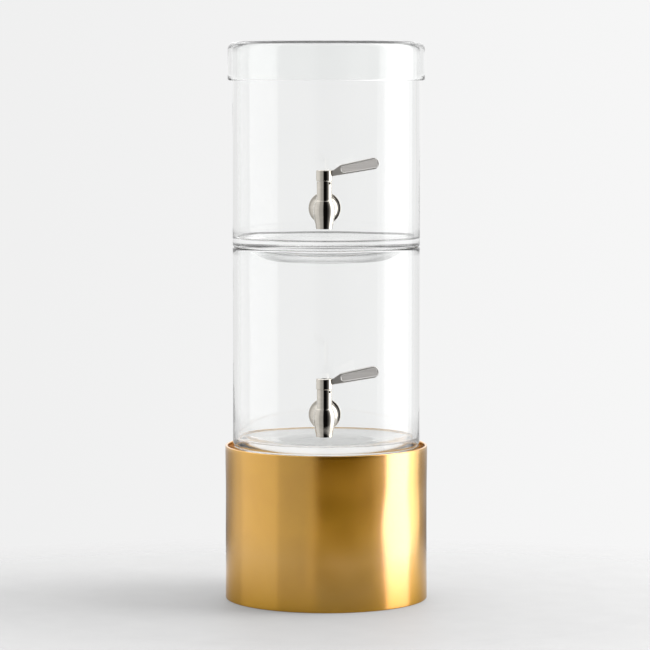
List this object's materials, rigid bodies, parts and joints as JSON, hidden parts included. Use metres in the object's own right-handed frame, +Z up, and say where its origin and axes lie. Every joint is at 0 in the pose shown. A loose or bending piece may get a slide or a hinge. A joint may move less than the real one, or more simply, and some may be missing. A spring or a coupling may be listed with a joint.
{
  "type": "beverage dispenser",
  "caption": "Stacked glass beverage dispenser: round jars with steel lever spigots, a glass cap lid and a cylindrical brass stand.",
  "frame": {"origin": "centre of the stand's base, on the surface it stands on", "axes": "+Z up along the jars' axis, -Y to the front with the spigots, +X to the right, where the closed levers point"},
  "size_m": [0.195, 0.2256, 0.5368],
  "materials": {
    "clear_glass": "clear, fire-polished",
    "stand_brass": "hand-hammered, satin polish",
    "shelf_white": "white-lacquered steel",
    "polished_steel": "polished stainless steel",
    "brushed_lever": "satin stainless steel",
    "satin_steel": "machined stainless steel",
    "dark_steel": "dark steel",
    "clear_silicone": "translucent silicone",
    "black_rubber": "black rubber"
  },
  "bodies": {
    "stand": {"stand_shell": "stand_brass", "stand_shelf": "shelf_white"},
    "lower_vessel": {"lower_jar": "clear_glass", "lower_spigot_body": "polished_steel", "lower_outer_gasket": "clear_silicone", "lower_inner_gasket": "clear_silicone", "lower_thrust_washer": "satin_steel", "lower_lock_nut": "satin_steel", "lower_stop_pin": "dark_steel"},
    "upper_vessel": {"upper_jar": "clear_glass", "upper_spigot_body": "polished_steel", "upper_outer_gasket": "clear_silicone", "upper_inner_gasket": "clear_silicone", "upper_thrust_washer": "satin_steel", "upper_lock_nut": "satin_steel", "upper_stop_pin": "dark_steel"},
    "lid": {"lid": "clear_glass"},
    "lower_tap": {"lower_valve_plug": "satin_steel", "lower_plug_o_rings": "black_rubber", "lower_handle_hub": "polished_steel", "lower_lever": "brushed_lever", "lower_handle_screw": "dark_steel"},
    "upper_tap": {"upper_valve_plug": "satin_steel", "upper_plug_o_rings": "black_rubber", "upper_handle_hub": "polished_steel", "upper_lever": "brushed_lever", "upper_handle_screw": "dark_steel"}
  },
  "joints": [
    {"name": "lower_jar_lift", "type": "slide", "parent": "stand", "child": "lower_vessel", "axis": [0, 0, 1], "range_m": [0, 0.1]},
    {"name": "upper_jar_lift", "type": "slide", "parent": "lower_vessel", "child": "upper_vessel", "axis": [0, 0, 1], "range_m": [0, 0.15]},
    {"name": "lid_lift", "type": "slide", "parent": "upper_vessel", "child": "lid", "axis": [0, 0, 1], "range_m": [0, 0.15]},
    {"name": "lower_tap_turn", "type": "hinge", "parent": "lower_vessel", "child": "lower_tap", "pos_m": [0, -0.118, 0.1875], "axis": [0, 0, 1], "range_deg": [-90, 0]},
    {"name": "upper_tap_turn", "type": "hinge", "parent": "upper_vessel", "child": "upper_tap", "pos_m": [0, -0.118, 0.3805], "axis": [0, 0, 1], "range_deg": [-90, 0]}
  ]
}
